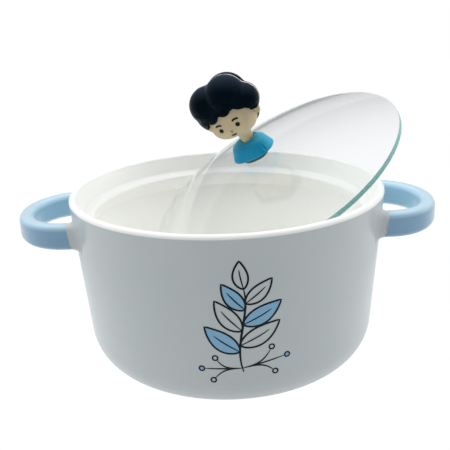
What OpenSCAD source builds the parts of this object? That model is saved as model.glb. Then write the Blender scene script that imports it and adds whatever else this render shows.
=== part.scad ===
// Glazed stoneware bowl with two strap handles and a domed glass lid.
// The lid's knob is a moulded doll bust. The lid is drawn as it is put down
// in use: slipped edge first into the bowl, where it leans on the rim.

/* [Bowl] */
// Height of the bowl
bowl_h = 95.5; // [85:0.5:110]
// Outer radius of the bowl at its rim
rim_r = 84; // [80:0.5:92]
// Thickness of the wall and of the floor
wall_t = 6; // [4.5:0.1:6.5]
// Lean of the wall, in degrees from upright
wall_taper = 4.9; // [3:0.1:6]
// Radius of the rounded bottom corner
bottom_corner_r = 23.5; // [18:0.5:30]
// Radius of the hollow under the floor
foot_hollow_r = 46; // [36:1:50]
// Depth of the hollow under the floor
foot_hollow_depth = 1.5; // [0.8:0.1:2.5]

/* [Gallery that the lid sits in] */
// Thickness of the rim
rim_t = 4.2; // [3.4:0.1:5]
// Lean of the gallery's wall, in degrees from upright
gallery_draft = 16; // [8:1:18]
// Depth of the gallery's corner below the rim
gallery_depth = 9.8; // [8:0.1:12]
// Width of the ledge under the lid
ledge_w = 5.2; // [4.5:0.1:6]
// Fall of the ledge towards the middle, in degrees
ledge_slope = 21; // [15:1:26]
// Radius of the ledge's nose
nose_r = 1.2; // [0.9:0.1:1.5]
// Height of the ledge's underside, from the nose to the wall
under_ledge_h = 8; // [6:0.5:12]

/* [Handles] */
// How far each handle stands out from the rim
handle_reach = 28.3; // [24:0.1:36]
// Distance between the two legs of a handle, middle to middle
handle_span = 59.4; // [54:0.2:66]
// Height of the strap
strap_h = 13.6; // [10:0.1:16]
// Thickness of the strap
strap_t = 8; // [7:0.1:9]
// Rounding of the strap's long edges
strap_edge_r = 3.6; // [2:0.1:3.8]
// Depth of the strap's middle below the rim
handle_drop = 15.9; // [13:0.1:24]
// Radius of the bend at a handle's far end
far_bend_r = 34; // [32:0.5:38]
// Radius of the bends at a handle's two corners
corner_bend_r = 22; // [19:0.5:24]

/* [Glass lid] */
// Play between the lid's edge and the gallery
lid_play = 2.6; // [1.5:0.1:3]
// Thickness of the glass
glass_t = 2.6; // [2.2:0.1:4]
// Rise of the dome above its edge
lid_rise = 13.5; // [10:0.5:14]
// Width of the ground edge's bevel
glass_bevel = 0.4; // [0.2:0.1:0.6]
// Lean of the lid in the bowl, in degrees
lid_lean = 31; // [29:0.5:34]
// Direction in which the lid leans down, in degrees round the bowl
lid_heading = 200.6; // [195:0.2:206]
// Gap between the leaning lid and what it leans on
lid_gap = 0.4; // [0.3:0.05:0.6]

/* [Knob, a doll bust] */
// Turn of the knob on the lid, in degrees
knob_turn = 142; // [120:1:160]
// How far the knob is stuck on off the lid's middle
knob_offset = 1.7; // [0:0.1:3]
// Thickness of the clear adhesive pad
pad_t = 0.4; // [0.3:0.1:0.8]
// Radius of the clear adhesive pad
pad_r = 4.6; // [3.5:0.1:4.7]
// Half width of the base disc
base_hw = 7.4; // [6.5:0.1:8]
// Half depth of the base disc
base_hd = 6.4; // [5.5:0.1:6.5]
// Thickness of the base disc
base_t = 2.8; // [2:0.1:4]
// Half width of the shirt at its hem
shirt_hw = 12.1; // [11.4:0.1:13]
// Half depth of the shirt at its hem
shirt_hd = 9.4; // [9:0.1:9.8]
// Height of the shirt's side, from the hem to the shoulder
shirt_side_h = 5.8; // [5:0.1:6.5]
// Lean of the shirt's sides, in degrees from upright
shirt_lean = 22; // [18:1:24]
// Radius of the shoulders
shoulder_r = 4; // [3.4:0.1:4.4]
// Lean of the shoulders' tops, in degrees from upright
shoulder_lean = 65; // [60:1:70]
// Half width of the collar
collar_hw = 4.6; // [4.3:0.1:5.2]
// Rounding of the shirt's hem
hem_r = 0.8; // [0.4:0.1:1.2]
// Radius of the neck
neck_r = 3.8; // [3:0.1:4]
// How far the neck stands off the knob's middle
neck_offset = 1.2; // [0:0.1:1.6]
// Depth of the neck's socket in the shirt
socket_depth = 3.4; // [2.5:0.1:4]
// Gap round the neck in its socket
socket_gap = 0.3; // [0.2:0.05:0.4]
// Bare height of the neck, from the shirt to the chin
neck_h = 4.4; // [3.5:0.1:6]

/* [Doll head] */
// Half width of the face
face_hw = 13; // [12:0.1:14]
// Half depth of the head
face_hd = 10.3; // [9.5:0.1:10.8]
// Height of the head without its hair
face_h = 23.7; // [22:0.1:26]
// Rounding of the jaw
jaw_r = 5.8; // [5:0.1:7]
// Rounding of the crown under the hair
crown_r = 9.8; // [8.5:0.1:10]
// Radius of an ear
ear_r = 2.3; // [1.8:0.1:2.8]
// Radius of an eye
eye_r = 1.25; // [0.7:0.05:1.3]
// Distance between the eyes, middle to middle
eye_spacing = 10; // [8:0.1:12]
// How far eyes, nose, brows and mouth stand out of the face
feature_relief = 0.35; // [0.25:0.05:0.5]
// Thickness of the drawn lines of the brows and the mouth
line_t = 0.8; // [0.5:0.05:0.9]
// Width of a brow
brow_w = 3.8; // [2.6:0.1:4]
// Width of the mouth
mouth_w = 3; // [2.4:0.1:3.6]
// Radius of the nose
nose_tip_r = 0.7; // [0.5:0.05:0.9]

/* [Hair] */
// Place of the parting between the front and back hair, behind the middle
part_y = 2; // [1:0.1:2.4]
// Thickness of the light plate between the front and back hair
part_t = 1.3; // [0.8:0.1:1.4]
// How far the light plate lies below the hair's surface
part_inset = 0.2; // [0.2:0.05:0.6]
// Size of the curls against the head, 1 as in the photograph
curl_scale = 1; // [0.97:0.01:1.05]

/* [Hidden] */
$fn = 96;
// one overrun for all cuts
over = 1;

// bowl outline, worked out from the rim down
rim_round_r = rim_t / 2;
rim_z = bowl_h - rim_round_r;
rim_x = rim_r - rim_round_r;
// the wall's line, tangent to the round of the rim and to the bottom corner
wall_offset = rim_x * cos(wall_taper) - rim_z * sin(wall_taper) + rim_round_r;
corner_x = (wall_offset - bottom_corner_r * (1 - sin(wall_taper))) / cos(wall_taper);
function wall_r(z, inset) = (wall_offset - inset + z * sin(wall_taper)) / cos(wall_taper);

// gallery and ledge
ledge_z = bowl_h - gallery_depth;
gallery_top = [rim_x - rim_round_r * cos(gallery_draft), rim_z + rim_round_r * sin(gallery_draft)];
gallery_r = gallery_top[0] - (gallery_top[1] - ledge_z) * tan(gallery_draft);
lip_r = gallery_r - ledge_w;
nose_x = lip_r + nose_r;
nose_z = ledge_z - (gallery_r - nose_x) * tan(ledge_slope) - nose_r / cos(ledge_slope);
under_z = nose_z - under_ledge_h;
under_slope = atan((wall_r(under_z, wall_t) - nose_x) / under_ledge_h);
nose_steps = 6;
corner_steps = 18;
rim_steps = 14;

// glass lid
lid_r = gallery_r - lid_play;
dome_r = (lid_r * lid_r + lid_rise * lid_rise) / (2 * lid_rise);
dome_fn = 256;
pad_steps = 6;
glass_edge_h = lid_rise - dome_r + sqrt(dome_r * dome_r - lid_r * lid_r)
               - (lid_rise - dome_r + sqrt(pow(dome_r - glass_t, 2) - lid_r * lid_r));

// the leaning lid: its lower edge circle touches the ledge's nose and the rim's inside
// at two points each, so its place follows from those two radii and the lean
touch_share = 0.5;
round_share = sqrt(0.5);
low_r = lip_r - lid_gap;
low_z = nose_z + nose_r * touch_share;
high_r = rim_x - rim_round_r * round_share - lid_gap;
high_z = rim_z + rim_round_r * round_share;
touch_h = high_z - low_z;
touch_run = touch_h / sin(lid_lean);
touch_k = (high_r * high_r - low_r * low_r + touch_h * touch_h) / (2 * touch_run);
touch_m = lid_r * lid_r - low_r * low_r;
touch_d = (touch_k - sqrt(touch_k * touch_k - pow(sin(lid_lean), 2)
           * (touch_k * touch_k + pow(cos(lid_lean), 2) * touch_m))) / pow(sin(lid_lean), 2);
lid_s = -sqrt(touch_d * touch_d - touch_m) - touch_d * cos(lid_lean)
        + glass_edge_h * sin(lid_lean);
lid_place = [lid_s * cos(lid_heading), lid_s * sin(lid_heading),
             low_z + touch_d * sin(lid_lean) + glass_edge_h * cos(lid_lean)];

// handles
handle_z = bowl_h - handle_drop;
strap_x = rim_r + handle_reach - strap_t / 2;
bend_x = strap_x - far_bend_r;
bend_a = asin((handle_span / 2 - corner_bend_r) / (far_bend_r - corner_bend_r));
leg_x = bend_x + (far_bend_r - corner_bend_r) * cos(bend_a);
// the legs run on into the wall, which trims them
leg_end_x = wall_r(handle_z, wall_t / 2) * cos(asin(handle_span / 2 / wall_r(handle_z, 0))) - strap_t;
edge_steps = 5;
bend_steps = 7;

// heights on the knob, from the top of the glass
base_z = pad_t;
shirt_z = base_z + base_t;
// the shirt's outline at one end: hem, side, shoulder, and the slope up to the collar
hem_middle = [shirt_hd - hem_r, shirt_z + hem_r];
side_top = hem_middle + hem_r * [cos(shirt_lean), sin(shirt_lean)]
           + (shirt_side_h - hem_r) * [-tan(shirt_lean), 1];
shoulder_middle = side_top - shoulder_r * [cos(shirt_lean), sin(shirt_lean)];
shoulder_top = shoulder_middle + shoulder_r * [cos(shoulder_lean), sin(shoulder_lean)];
collar_r = collar_hw - (shirt_hw - shirt_hd);
shirt_top = shoulder_top[1] + (shoulder_top[0] - collar_r) / tan(shoulder_lean);
shirt_steps = 6;
chin_z = shirt_top + neck_h;
head_top = chin_z + face_h;
face_flat = face_hw - face_hd;

// heights on the face, as shares of the head's height
ear_share = 0.345;
eye_share = 0.36;
brow_share = 0.485;
nose_share = 0.255;
mouth_share = 0.16;
// half the angle that a drawn arc spans
bow_half_a = 40;
// how far the ears' middles lie outside the face, as a share of their radius
ear_out_share = 0.25;

// the cap that the curls stand on: how far it stands out of the face, the heights of its
// ends as shares of the head's height, and its roundings as shares of its half depth
cap_side_grow = 1.8;
cap_front_grow = 1.6;
cap_low_share = 0.046;
cap_top_share = 1.312;
cap_low_r_share = 0.84;
cap_top_r_share = 0.95;
// curls as shares of the head's height: [x, y, height above the chin, radius]
curl_shares = [[0.16, -0.07, 0.94, 0.47], [-0.31, -0.05, 0.9, 0.435], [-0.31, 0, 0.68, 0.43],
               [0.44, -0.02, 0.69, 0.38]];
back_curl_shares = [[0.16, 0.08, 0.93, 0.465], [-0.33, 0.07, 0.88, 0.41], [-0.25, 0.14, 0.72, 0.45],
                    [0.43, 0.08, 0.67, 0.37], [-0.05, 0.2, 0.42, 0.4], [0.25, 0.17, 0.37, 0.36],
                    [-0.56, 0.16, 0.41, 0.21]];
// round ends of the fringe's locks: [x, height above the chin, radius]
lock_shares = [[-0.56, 0.61, 0.15], [-0.25, 0.75, 0.16], [-0.06, 0.88, 0.17], [0.1, 0.83, 0.172],
               [0.27, 0.9, 0.168], [0.543, 0.868, 0.25], [0.68, 0.66, 0.14]];
// where the side hair ends, how far back the fringe is cut, and how far the cuts reach
side_hair_share = 0.42;
fringe_y_share = -0.15;
hair_reach_share = 2;

// shapes that more than one piece uses

// profile of a rounded block: half width hw, from z0 to z1, with bottom and top radii
module block_profile(hw, z0, z1, bottom_r, top_r) {
    intersection() {
        union() {
            translate([0, z0 + bottom_r]) square([hw, z1 - top_r - z0 - bottom_r]);
            translate([0, z0]) square([hw - bottom_r, bottom_r]);
            translate([0, z1 - top_r]) square([hw - top_r, top_r]);
            translate([hw - bottom_r, z0 + bottom_r]) circle(bottom_r);
            translate([hw - top_r, z1 - top_r]) circle(top_r);
        }
        translate([0, z0]) square([hw, z1 - z0]);
    }
}

// the profile turned about two upright axes, flat apart along X, and filled between them
module loaf(flat) {
    for (side = [-1, 1]) translate([side * flat, 0, 0]) rotate_extrude() children();
    rotate([90, 0, 90]) linear_extrude(2 * flat, center = true) {
        children();
        mirror([1, 0]) children();
    }
}

// points along an arc, from one direction to another
function arc_points(middle, r, from_a, to_a, steps) = [for (i = [0 : steps])
    let (a = from_a + (to_a - from_a) * i / steps) middle + r * [cos(a), sin(a)]];

// floor and rounded bottom corner of the bowl, moved in by inset
function bottom_points(inset) = concat([[0, inset]], arc_points([corner_x, bottom_corner_r],
    bottom_corner_r - inset, -90, -wall_taper, corner_steps));

module on_lid() {
    translate(lid_place) rotate([0, lid_lean, lid_heading]) children();
}

module on_knob() {
    on_lid() translate([0, 0, lid_rise]) rotate([0, 0, knob_turn])
        translate([-knob_offset, 0, 0]) children();
}

// bowl

// mouth of the bowl: gallery, ledge and the nose that the lid rests on
module mouth_profile() {
    ledge_run = [cos(ledge_slope), sin(ledge_slope)];
    corner = [gallery_r, ledge_z];
    polygon(concat(
        [[0, under_z - over], [wall_r(under_z, wall_t), under_z - over],
         [wall_r(under_z, wall_t), under_z]],
        arc_points([nose_x, nose_z], nose_r, 180 + under_slope, 90 + ledge_slope, nose_steps),
        [corner - nose_r * ledge_run,
         corner + nose_r * [sin(gallery_draft), cos(gallery_draft)],
         gallery_top, gallery_top + over * [tan(gallery_draft), 1], [0, bowl_h + over]]));
}

// the bowl's filled outline with its rounded rim
module bowl_outline() {
    polygon(concat(bottom_points(0), arc_points([rim_x, rim_z], rim_round_r, -wall_taper,
        180 - gallery_draft, rim_steps), [[0, gallery_top[1]]]));
}

module bowl() {
    color([0.93, 0.94, 0.94]) rotate_extrude() difference() {
        bowl_outline();
        polygon(concat(bottom_points(wall_t), [[wall_r(under_z, wall_t), under_z], [0, under_z]]));
        mouth_profile();
        translate([0, -over]) polygon([[0, 0], [foot_hollow_r + over, 0],
            [foot_hollow_r - foot_hollow_depth, over + foot_hollow_depth],
            [0, over + foot_hollow_depth]]);
    }
}

// handles

// outline of the strap's section, as [across, up], with rounded edges
function strap_section() = [for (q = [0 : 3], i = [0 : edge_steps])
    let (a = 90 * (q + i / edge_steps), sx = q == 0 || q == 3 ? 1 : -1, sy = q < 2 ? 1 : -1)
        [sx * (strap_t / 2 - strap_edge_r) + strap_edge_r * cos(a),
         sy * (strap_h / 2 - strap_edge_r) + strap_edge_r * sin(a)]];

// middle line of the strap as [x, y, direction of its outer side], from one leg to the other
function strap_route() = concat(
    [[leg_end_x, -handle_span / 2, -90]],
    [for (i = [0 : bend_steps]) let (a = -90 + (90 - bend_a) * i / bend_steps)
        [leg_x + corner_bend_r * cos(a), corner_bend_r * (sin(a) + 1) - handle_span / 2, a]],
    [for (i = [1 : 2 * bend_steps - 1]) let (a = bend_a * (i / bend_steps - 1))
        [bend_x + far_bend_r * cos(a), far_bend_r * sin(a), a]],
    [for (i = [bend_steps : -1 : 0]) let (a = 90 - (90 - bend_a) * i / bend_steps)
        [leg_x + corner_bend_r * cos(a), handle_span / 2 - corner_bend_r * (1 - sin(a)), a]],
    [[leg_end_x, handle_span / 2, 90]]);

// the section carried along the route as one closed skin
module strap() {
    section = strap_section();
    route = strap_route();
    n = len(section);
    last = len(route) - 1;
    points = [for (r = route, p = section)
        [r[0] + p[0] * cos(r[2]), r[1] + p[0] * sin(r[2]), handle_z + p[1]]];
    sides = [for (k = [0 : last - 1], i = [0 : n - 1]) let (j = (i + 1) % n)
        [k * n + i, (k + 1) * n + i, (k + 1) * n + j, k * n + j]];
    polyhedron(points, concat(sides, [[for (i = [0 : n - 1]) i],
        [for (i = [n - 1 : -1 : 0]) last * n + i]]));
}

module handle() {
    color([0.56, 0.74, 0.84]) difference() {
        strap();
        rotate_extrude() bowl_outline();
    }
}

module handle_left() {
    mirror([1, 0, 0]) handle();
}

module handle_right() {
    handle();
}

// glass lid

module lid_glass() {
    color([0.72, 0.85, 0.84, 0.4]) on_lid() rotate_extrude() intersection() {
        translate([0, lid_rise - dome_r]) difference() {
            circle(dome_r, $fn = dome_fn);
            circle(dome_r - glass_t, $fn = dome_fn);
        }
        polygon([[0, lid_rise + over], [lid_r - glass_bevel - (lid_rise + over), lid_rise + over],
                 [lid_r, -glass_bevel], [lid_r, glass_bevel - glass_edge_h],
                 [lid_r - glass_bevel, -glass_edge_h - over], [0, -glass_edge_h - over]]);
    }
}

// knob, from the glass up

module knob_pad() {
    color([0.85, 0.88, 0.88, 0.6]) on_knob() translate([knob_offset, 0, 0])
        rotate_extrude() polygon(concat([[0, pad_t]],
            [for (i = [0 : pad_steps]) let (r = pad_r * i / pad_steps)
                [r, sqrt(dome_r * dome_r - r * r) - dome_r]],
            [[pad_r, pad_t]]));
}

module knob_base() {
    color([0.05, 0.33, 0.38]) on_knob() loaf(base_hw - base_hd)
        block_profile(base_hd, base_z, shirt_z, hem_r, hem_r);
}

module knob_shirt() {
    color([0.13, 0.52, 0.68]) on_knob() difference() {
        loaf(shirt_hw - shirt_hd) polygon(concat([[0, shirt_z]],
            arc_points(hem_middle, hem_r, -90, shirt_lean, shirt_steps),
            arc_points(shoulder_middle, shoulder_r, shirt_lean, shoulder_lean, shirt_steps),
            [[collar_r, shirt_top], [0, shirt_top]]));
        translate([neck_offset, 0, shirt_top - socket_depth])
            cylinder(socket_depth + over, r = neck_r + socket_gap);
    }
}

module face_block(grow) {
    loaf(face_flat)
        block_profile(face_hd + grow, chin_z - grow, head_top + grow, jaw_r + grow, crown_r + grow);
}

module ears(grow) {
    for (side = [-1, 1]) translate([side * (face_hw + ear_r * ear_out_share), 0, chin_z + face_h * ear_share])
        sphere(ear_r + grow);
}

module knob_head() {
    color([0.78, 0.69, 0.58]) on_knob() {
        face_block(0);
        ears(0);
        translate([neck_offset, 0, shirt_top - socket_depth])
            cylinder(chin_z + jaw_r - shirt_top + socket_depth, r = neck_r);
    }
}

// the curls together with the cap that they stand on
module curls(shares, shrink) {
    cap_hd = face_hd + cap_front_grow;
    loaf(face_hw + cap_side_grow - cap_hd)
        block_profile(cap_hd - shrink, chin_z + face_h * cap_low_share + shrink,
            chin_z + face_h * cap_top_share - shrink, cap_hd * cap_low_r_share - shrink,
            cap_hd * cap_top_r_share - shrink);
    for (s = shares) translate([s[0] * face_h, s[1] * face_h, chin_z + s[2] * face_h])
        sphere(s[3] * face_h * curl_scale - shrink);
}

// everything in front of, or behind, an upright plane across the head
module half_space(from_y, to_y, from_z) {
    reach = hair_reach_share * face_h;
    translate([-reach / 2, from_y, from_z]) cube([reach, to_y - from_y, head_top + reach - from_z]);
}

// the space below the fringe, in front of the ears
module fringe_cut() {
    reach = hair_reach_share * face_h;
    translate([0, face_h * fringe_y_share, 0]) rotate([90, 0, 0]) linear_extrude(reach)
        difference() {
            polygon(concat([[-reach / 2, 0], [-reach / 2, chin_z + lock_shares[0][1] * face_h]],
                [for (s = lock_shares) [s[0] * face_h, chin_z + s[1] * face_h]],
                [[reach / 2, chin_z + lock_shares[len(lock_shares) - 1][1] * face_h],
                 [reach / 2, 0]]));
            for (s = lock_shares) translate([s[0] * face_h, chin_z + s[1] * face_h])
                circle(s[2] * face_h);
        }
}

module hair_front() {
    color([0.05, 0.06, 0.1]) on_knob() difference() {
        intersection() {
            curls(curl_shares, 0);
            half_space(-hair_reach_share * face_h, part_y, chin_z + face_h * side_hair_share);
        }
        face_block(0);
        ears(0);
        fringe_cut();
    }
}

module hair_back() {
    color([0.05, 0.06, 0.1]) on_knob() difference() {
        intersection() {
            curls(back_curl_shares, 0);
            half_space(part_y + part_t, hair_reach_share * face_h, chin_z);
        }
        face_block(0);
        ears(0);
    }
}

module hair_core() {
    color([0.86, 0.85, 0.78]) on_knob() difference() {
        intersection() {
            curls(curl_shares, part_inset);
            half_space(part_y, part_y + part_t, chin_z + face_h * side_hair_share);
        }
        face_block(0);
        ears(0);
    }
}

// features of the face, each a thin relief on the head

// a flat outline laid on the face as a thin relief, at x and at a share of its height
module face_mark(x, share) {
    intersection() {
        difference() {
            face_block(feature_relief);
            face_block(0);
        }
        translate([x, 0, chin_z + face_h * share]) rotate([90, 0, 0])
            linear_extrude(face_hd + over) children();
    }
}

// a shallow arc of width w, bowed up
module drawn_arc(w) {
    bow_r = w / 2 / sin(bow_half_a);
    translate([0, -bow_r]) difference() {
        intersection() {
            circle(bow_r);
            polygon([[0, 0], [-bow_r * tan(bow_half_a), bow_r], [bow_r * tan(bow_half_a), bow_r]]);
        }
        circle(bow_r - line_t);
    }
}

module eye(side) {
    color([0.04, 0.04, 0.05]) on_knob() face_mark(side * eye_spacing / 2, eye_share) circle(eye_r);
}

module brow(side) {
    color([0.04, 0.04, 0.05]) on_knob()
        face_mark(side * eye_spacing / 2, brow_share) drawn_arc(brow_w);
}

module eye_left() {
    eye(1);
}

module eye_right() {
    eye(-1);
}

module brow_left() {
    brow(1);
}

module brow_right() {
    brow(-1);
}

module nose() {
    color([0.7, 0.58, 0.46]) on_knob() face_mark(0, nose_share) circle(nose_tip_r);
}

module mouth() {
    color([0.04, 0.04, 0.05]) on_knob() face_mark(0, mouth_share) mirror([0, 1]) drawn_arc(mouth_w);
}

bowl();
handle_left();
handle_right();
lid_glass();
knob_pad();
knob_base();
knob_shirt();
knob_head();
hair_front();
hair_back();
hair_core();
eye_left();
eye_right();
brow_left();
brow_right();
nose();
mouth();
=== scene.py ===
import math

import bmesh
import bpy
import numpy as np
from mathutils import Matrix, Vector
from mathutils.geometry import interpolate_bezier


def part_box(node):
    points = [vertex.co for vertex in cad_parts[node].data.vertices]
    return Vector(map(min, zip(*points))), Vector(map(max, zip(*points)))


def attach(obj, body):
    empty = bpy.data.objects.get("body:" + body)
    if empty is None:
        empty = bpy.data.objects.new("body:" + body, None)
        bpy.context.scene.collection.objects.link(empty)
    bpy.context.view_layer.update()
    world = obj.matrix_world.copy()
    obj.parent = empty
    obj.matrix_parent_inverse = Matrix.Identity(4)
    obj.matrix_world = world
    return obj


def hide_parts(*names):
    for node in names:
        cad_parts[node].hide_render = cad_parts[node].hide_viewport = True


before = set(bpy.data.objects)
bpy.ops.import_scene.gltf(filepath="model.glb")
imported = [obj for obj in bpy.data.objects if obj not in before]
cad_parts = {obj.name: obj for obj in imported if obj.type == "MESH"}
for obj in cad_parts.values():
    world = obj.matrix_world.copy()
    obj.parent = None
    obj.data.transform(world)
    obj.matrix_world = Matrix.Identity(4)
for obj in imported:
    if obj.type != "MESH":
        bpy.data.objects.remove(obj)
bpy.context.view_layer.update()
mm = 0.001


# Bowl: one cast stoneware body, here turned from its profile, so that the wall, the rounded rim, the
# gallery and the ledge for the lid are one skin. Its glaze is a warm white inside and a darker, cool
# copy of it outside, which is painted shade; the rim top is painted a little darker as shade, the
# ledge darker where it faces up to hold down the light on it, and the glaze is wiped off the ring that
# the bowl stands on.
bowl_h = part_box("bowl")[1].z
rim_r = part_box("bowl")[1].x
wall_t = 6 * mm
wall_lean = math.radians(4.9)
bottom_corner_r = 23.5 * mm
foot_hollow_r = 46 * mm
foot_hollow_depth = 1.5 * mm
foot_edge_r = 0.5 * mm
rim_round_r = 2.1 * mm
gallery_lean = math.radians(16)
gallery_depth = 9.8 * mm
gallery_corner_r = 2.2 * mm
ledge_w = 5.2 * mm
ledge_fall = math.radians(21)
nose_r = 1.2 * mm
under_ledge_h = 8 * mm
wiped_h = 0.2 * mm
right = math.pi / 2
bowl_steps = 256
corner_steps, rim_steps, nose_steps, inner_steps = 28, 22, 12, 24


def spoke(middle, radius, a):
    """The point at a distance from another one, in a direction in radians."""
    return Vector((middle[0] + radius * math.cos(a), middle[1] + radius * math.sin(a)))


def arc(middle, radius, start, stop, steps):
    """Points of a round stretch of a profile, from one direction to another."""
    return [spoke(middle, radius, start + (stop - start) * i / steps) for i in range(steps + 1)]


def rounded(points, radius, steps=5):
    """An open profile whose inner corners are rounded off."""
    line = [points[0]]
    for before, corner, after in zip(points, points[1:], points[2:]):
        near, far = (before - corner).normalized(), (after - corner).normalized()
        cut = radius / math.tan(near.angle(far) / 2)
        for i in range(steps + 1):
            t = i / steps
            a, b = corner + near * cut * (1 - t), corner + far * cut * t
            line.append(a.lerp(b, t))
    return line + [points[-1]]


def made(name, shape, *materials):
    """The piece whose mesh a bmesh holds, smooth all over."""
    mesh = bpy.data.meshes.new(name)
    shape.to_mesh(mesh)
    shape.free()
    mesh.shade_smooth()
    piece = bpy.data.objects.new(name, mesh)
    bpy.context.collection.objects.link(piece)
    for material in materials:
        mesh.materials.append(material)
    return piece


def spun(profile, steps):
    """A mesh turned from a profile of (radius, height) points about the upright axis."""
    shape = bmesh.new()
    line = [shape.verts.new((r, 0, z)) for r, z in profile]
    edges = [shape.edges.new(pair) for pair in zip(line, line[1:])]
    bmesh.ops.spin(shape, geom=line + edges, axis=(0, 0, 1), cent=(0, 0, 0),
                   angle=math.tau, steps=steps, use_merge=True)
    bmesh.ops.remove_doubles(shape, verts=shape.verts, dist=1e-7)
    bmesh.ops.recalc_face_normals(shape, faces=shape.faces)
    return shape


rim_x, rim_z = rim_r - rim_round_r, bowl_h - rim_round_r
wall_line = rim_x * math.cos(wall_lean) - rim_z * math.sin(wall_lean) + rim_round_r
corner_x = (wall_line - bottom_corner_r * (1 - math.sin(wall_lean))) / math.cos(wall_lean)


def wall_r(z, inset=0.0):
    """Radius of the outside of the wall at a height, or of a skin set in from it."""
    return (wall_line - inset + z * math.sin(wall_lean)) / math.cos(wall_lean)


ledge_z = bowl_h - gallery_depth
gallery_top = spoke((rim_x, rim_z), rim_round_r, 2 * right - gallery_lean)
gallery_r = gallery_top.x - (gallery_top.y - ledge_z) * math.tan(gallery_lean)
nose_x = gallery_r - ledge_w + nose_r
nose_z = ledge_z - (gallery_r - nose_x) * math.tan(ledge_fall) - nose_r / math.cos(ledge_fall)
under_z = nose_z - under_ledge_h
under_lean = math.atan((wall_r(under_z, wall_t) - nose_x) / under_ledge_h)

foot_line = [Vector((0, foot_hollow_depth)), Vector((foot_hollow_r - foot_hollow_depth, foot_hollow_depth)),
             Vector((foot_hollow_r, 0)), Vector((corner_x, 0))]
ledge_line = [spoke((nose_x, nose_z), nose_r, right + ledge_fall), Vector((gallery_r, ledge_z)), gallery_top]
under_line = [spoke((nose_x, nose_z), nose_r, 2 * right + under_lean),
              Vector((wall_r(under_z, wall_t), under_z)),
              Vector((wall_r(bottom_corner_r, wall_t), bottom_corner_r))]
bowl_profile = (rounded(foot_line, foot_edge_r)[:-1]
                + arc((corner_x, bottom_corner_r), bottom_corner_r, -right, -wall_lean, corner_steps)
                + arc((rim_x, rim_z), rim_round_r, -wall_lean, 2 * right - gallery_lean, rim_steps)[:-1]
                + rounded(ledge_line, gallery_corner_r)[::-1][:-1]
                + arc((nose_x, nose_z), nose_r, right + ledge_fall, 2 * right + under_lean, nose_steps)[:-1]
                + rounded(under_line, gallery_corner_r)[:-1]
                + arc((corner_x, bottom_corner_r), bottom_corner_r - wall_t, -wall_lean, -right, inner_steps)
                + [Vector((0, wall_t))])


def group(name, inputs, outputs):
    """An empty node group with its sockets, for an effect that several materials share."""
    tree = bpy.data.node_groups.new(name, "ShaderNodeTree")
    for title, kind, value in inputs:
        socket = tree.interface.new_socket(title, in_out="INPUT", socket_type=kind)
        socket.default_value = value
    for title, kind in outputs:
        tree.interface.new_socket(title, in_out="OUTPUT", socket_type=kind)
    return tree, tree.nodes.new("NodeGroupInput"), tree.nodes.new("NodeGroupOutput")


def node(tree, kind, *links, **settings):
    """A node with its settings, fed by (input, value or socket) pairs."""
    made_node = tree.nodes.new(kind)
    for key, value in settings.items():
        setattr(made_node, key, value)
    for socket, value in links:
        if isinstance(value, bpy.types.NodeSocket):
            tree.links.new(value, made_node.inputs[socket])
        else:
            made_node.inputs[socket].default_value = value
    return made_node


def ramp(tree, value, start, stop, low=0.0, high=1.0):
    """A value that goes from low to high while another one goes from start to stop."""
    return node(tree, "ShaderNodeMapRange", ("Value", value), ("From Min", start), ("From Max", stop),
                ("To Min", low), ("To Max", high)).outputs[0]


def maths(tree, operation, *values):
    """What one step of arithmetic makes of its values."""
    return node(tree, "ShaderNodeMath", *enumerate(values), operation=operation).outputs[0]


def mixed(tree, share, first, second):
    """A colour between two others."""
    return node(tree, "ShaderNodeMix", (0, share), (6, first), (7, second), data_type="RGBA").outputs[2]


def pattern(tree, kind, scale, detail=0.0):
    """A cloudy or spotted pattern on the piece's own coordinates."""
    place = node(tree, "ShaderNodeTexCoord").outputs["Object"]
    return node(tree, kind, ("Vector", place), ("Scale", scale), ("Detail", detail)).outputs[0]


def facing_up(tree, share, start, stop):
    """A share of a surface's change that grows as the surface turns to face up."""
    normal = node(tree, "ShaderNodeSeparateXYZ", (0, node(tree, "ShaderNodeNewGeometry").outputs["Normal"]))
    return maths(tree, "MULTIPLY", ramp(tree, normal.outputs["Z"], start, stop), share)


def end_skin(tree, end, colour, gloss, swing, clouds, relief, depth, grain):
    """Leads out of a skin its colour, its gloss, which swings with its clouds, and its fine relief."""
    swung = maths(tree, "MULTIPLY_ADD", clouds, swing, -swing / 2)
    bump = node(tree, "ShaderNodeBump", ("Strength", relief), ("Distance", depth), ("Height", grain))
    tree.links.new(colour, end.inputs["Colour"])
    tree.links.new(maths(tree, "ADD", swung, gloss), end.inputs["Roughness"])
    tree.links.new(bump.outputs[0], end.inputs["Normal"])


# the skin of a fired glaze: clouds of thickness, a faint ripple, a few pinholes, and a tone painted on
# what faces up, lighter or darker, that stands in for the light falling there
skin_sockets = [("Colour", "NodeSocketColor"), ("Roughness", "NodeSocketFloat"),
                ("Normal", "NodeSocketVector")]
glaze_skin, skin_in, skin_out = group(
    "glaze_skin",
    [("Glaze", "NodeSocketColor", (1, 1, 1, 1)), ("Pooled", "NodeSocketColor", (1, 1, 1, 1)),
     ("Cloud size", "NodeSocketFloat", 30.0), ("Gloss", "NodeSocketFloat", 0.15),
     ("Ripple", "NodeSocketFloat", 0.1), ("Thinned", "NodeSocketColor", (1, 1, 1, 1)),
     ("Thin share", "NodeSocketFloat", 0.0)], skin_sockets)
clouds = pattern(glaze_skin, "ShaderNodeTexNoise", skin_in.outputs["Cloud size"], 3.0)
ripples = pattern(glaze_skin, "ShaderNodeTexNoise", 260.0, 1.0)
pinholes = ramp(glaze_skin, pattern(glaze_skin, "ShaderNodeTexVoronoi", 160.0), 0.02, 0.035, 1.0, 0.0)
coat = mixed(glaze_skin, ramp(glaze_skin, clouds, 0.3, 0.7), skin_in.outputs["Glaze"],
             skin_in.outputs["Pooled"])
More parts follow.
